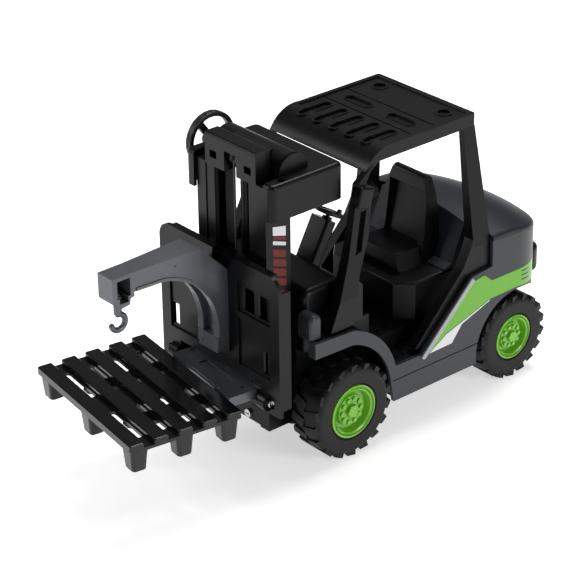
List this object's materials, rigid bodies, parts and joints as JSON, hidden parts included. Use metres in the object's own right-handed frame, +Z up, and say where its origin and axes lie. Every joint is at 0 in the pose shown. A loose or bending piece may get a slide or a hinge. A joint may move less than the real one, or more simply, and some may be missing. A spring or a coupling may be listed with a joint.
{
  "type": "toy forklift truck",
  "caption": "Toy forklift with a winch-raised carriage, swinging forks, a loose pallet, a lift-off crane arm with hook, a driver's cab under an overhead guard and rolling wheels.",
  "frame": {"origin": "bottom centre of the whole object's bounding box, on the floor", "axes": "-Y is the truck's front (fork end), +X the driver's left, +Z up"},
  "size_m": [0.121, 0.336, 0.1925],
  "materials": {
    "body_grey": "satin dark grey moulding",
    "hood_black": "satin blue-black moulding",
    "satin_black": "satin black moulding",
    "seat_black": "fine-grained black moulding",
    "dark_grey": "dark grey moulding",
    "pallet_black": "glossy black moulding",
    "metallic_grey": "metallic grey moulding",
    "silver_trim": "silver moulding",
    "silver_plastic": "silver-grey moulding",
    "rim_green": "bright green moulding",
    "tyre_black": "soft black tyre",
    "steel": "plated steel",
    "cord_black": "braided black cord"
  },
  "bodies": {
    "truck": {"body_shell": "body_grey", "bucket_seat": "seat_black", "chassis_pan": "seat_black", "chassis_screws": "steel", "control_levers": "seat_black", "cord_lead": "cord_black", "drum_cover": "satin_black", "engine_hood": "hood_black", "floor_deck": "seat_black", "front_cowl": "satin_black", "guide_pin": "steel", "guide_roller": "dark_grey", "headlight_left": "body_grey", "headlight_right": "body_grey", "inner_mast": "satin_black", "lift_cord": "cord_black", "lift_tube": "satin_black", "mast_screws": "steel", "outer_mast": "satin_black", "overhead_guard": "satin_black", "rear_bumper": "satin_black", "seat_pedestal": "seat_black", "steering_column": "satin_black", "trim_strip_left": "silver_trim", "trim_strip_right": "silver_trim", "winch_housing": "satin_black"},
    "winch": {"winch_drum": "dark_grey", "cord_winding": "cord_black", "winch_shaft": "steel", "hand_wheel": "dark_grey"},
    "steering": {"steering_wheel": "dark_grey"},
    "lift_carriage": {"carriage": "satin_black", "carriage_screws": "steel", "fork_pin": "steel"},
    "forks": {"fork_plate": "silver_plastic", "fork_tine_left": "silver_plastic", "fork_tine_right": "silver_plastic"},
    "loose_pallet": {"pallet": "pallet_black"},
    "crane": {"crane_arm": "metallic_grey"},
    "hook": {"crane_hook": "silver_plastic"},
    "front_wheels": {"front_axle": "steel", "front_rim_left": "rim_green", "front_rim_right": "rim_green", "front_tyre_left": "tyre_black", "front_tyre_right": "tyre_black"},
    "rear_wheels": {"rear_axle": "steel", "rear_rim_left": "rim_green", "rear_rim_right": "rim_green", "rear_tyre_left": "tyre_black", "rear_tyre_right": "tyre_black"}
  },
  "joints": [
    {"name": "carriage_lift", "type": "slide", "parent": "truck", "child": "lift_carriage", "axis": [0, 0, 1], "range_m": [-0.041, 0.04], "deforming": ["lift_cord"]},
    {"name": "hand_wheel_turn", "type": "hinge", "parent": "truck", "child": "winch", "pos_m": [0.00245, -0.03701, 0.1745], "axis": [1, 0, 0], "range_deg": [-352, 352]},
    {"name": "fork_swing", "type": "hinge", "parent": "lift_carriage", "child": "forks", "pos_m": [0.00545, -0.06471, 0.052], "axis": [0, 0, 1], "range_deg": [0, 15.6]},
    {"name": "pallet_slide", "type": "slide", "parent": "forks", "child": "loose_pallet", "axis": [-0.1357, -0.9907, 0], "range_m": [0, 0.075]},
    {"name": "crane_lift_off", "type": "slide", "parent": "lift_carriage", "child": "crane", "axis": [0, 0, 1], "range_m": [0, 0.064]},
    {"name": "hook_swivel", "type": "hinge", "parent": "crane", "child": "hook", "pos_m": [0.00245, -0.14001, 0.118], "axis": [0, 0, 1], "continuous": true},
    {"name": "steering_turn", "type": "hinge", "parent": "truck", "child": "steering", "pos_m": [0.00245, 0.01299, 0.123], "axis": [0, 0.4751, 0.8799], "continuous": true},
    {"name": "front_wheels_roll", "type": "hinge", "parent": "truck", "child": "front_wheels", "pos_m": [0.00245, -0.01751, 0.0294], "axis": [1, 0, 0], "continuous": true},
    {"name": "rear_wheels_roll", "type": "hinge", "parent": "truck", "child": "rear_wheels", "pos_m": [0.00245, 0.11849, 0.0274], "axis": [1, 0, 0], "continuous": true}
  ],
  "couplings": [
    {"joint": "hand_wheel_turn", "follows": "carriage_lift", "rad_per_m": -148.15}
  ]
}
